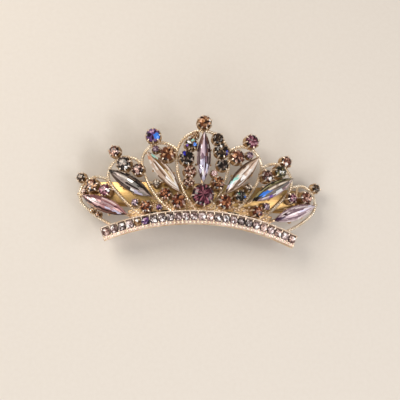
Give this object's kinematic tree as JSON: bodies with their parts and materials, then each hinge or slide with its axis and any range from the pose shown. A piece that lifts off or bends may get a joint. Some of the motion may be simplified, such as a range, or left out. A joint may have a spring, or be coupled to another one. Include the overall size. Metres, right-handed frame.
{
  "type": "crown hair clip",
  "caption": "Small jewelled crown on a hair clasp: petal loops of rope wire with long and round cut stones over an arched stone-set band.",
  "frame": {"origin": "centre of the outline's box in X and Y, on the surface that the clasp's flat underside rests on", "axes": "+X across the crown to the wearer's left as seen from the front, +Y from the band to the tips, +Z out of the stones"},
  "size_m": [0.0704, 0.0362, 0.0144],
  "materials": {
    "crown_gold": "pale gold plate, polished, with a twisted-wire texture",
    "clasp_gold": "gold plate, satin",
    "heart_plum": "cut glass, foil backed",
    "stone_topaz": "cut glass, foil backed",
    "stone_peach": "cut glass, foil backed",
    "stone_smoke": "cut glass, foil backed",
    "stone_plum": "cut glass, foil backed",
    "stone_aurora": "cut glass, foil backed, with a blue and violet film",
    "stone_pale": "cut glass, foil backed",
    "navette_lilac": "long cut glass, foil backed",
    "navette_champagne": "long cut glass, foil backed, with a faint film",
    "navette_smoke": "long cut glass, foil backed",
    "navette_pink": "long cut glass, foil backed",
    "band_mix": "paved small cut stones of mixed smoky, lilac and champagne colours"
  },
  "bodies": {
    "root": {"crown_frame": "crown_gold", "band_stones": "band_mix", "small_stones": "stone_pale", "clasp": "clasp_gold", "navette_centre": "navette_lilac", "navette_first_left": "navette_champagne", "navette_first_right": "navette_champagne", "navette_second_left": "navette_smoke", "navette_second_right": "navette_smoke", "navette_third_left": "navette_pink", "navette_third_right": "navette_pink", "heart_stone": "heart_plum", "tip_centre": "stone_topaz", "tip_left_1": "stone_aurora", "tip_right_1": "stone_plum", "tip_left_2": "stone_peach", "tip_right_2": "stone_peach", "tip_left_3": "stone_smoke", "tip_right_3": "stone_smoke", "centre_left_1": "stone_aurora", "centre_left_2": "stone_smoke", "centre_left_3": "stone_peach", "centre_left_4": "stone_peach", "centre_right_1": "stone_smoke", "centre_right_2": "stone_smoke", "centre_right_3": "stone_smoke", "centre_right_4": "stone_topaz", "first_left_upper": "stone_topaz", "first_right_upper": "stone_peach", "first_left_lower": "stone_topaz", "first_right_lower": "stone_smoke", "first_left_base": "stone_topaz", "first_right_base": "stone_topaz", "second_left_outer": "stone_smoke", "second_right_outer": "stone_smoke", "second_left_upper": "stone_peach", "second_right_upper": "stone_pale", "second_left_base": "stone_topaz", "second_right_base": "stone_topaz", "third_left_outer": "stone_topaz", "third_right_outer": "stone_peach", "third_left_upper": "stone_plum", "third_right_upper": "stone_plum"}
  },
  "joints": []
}
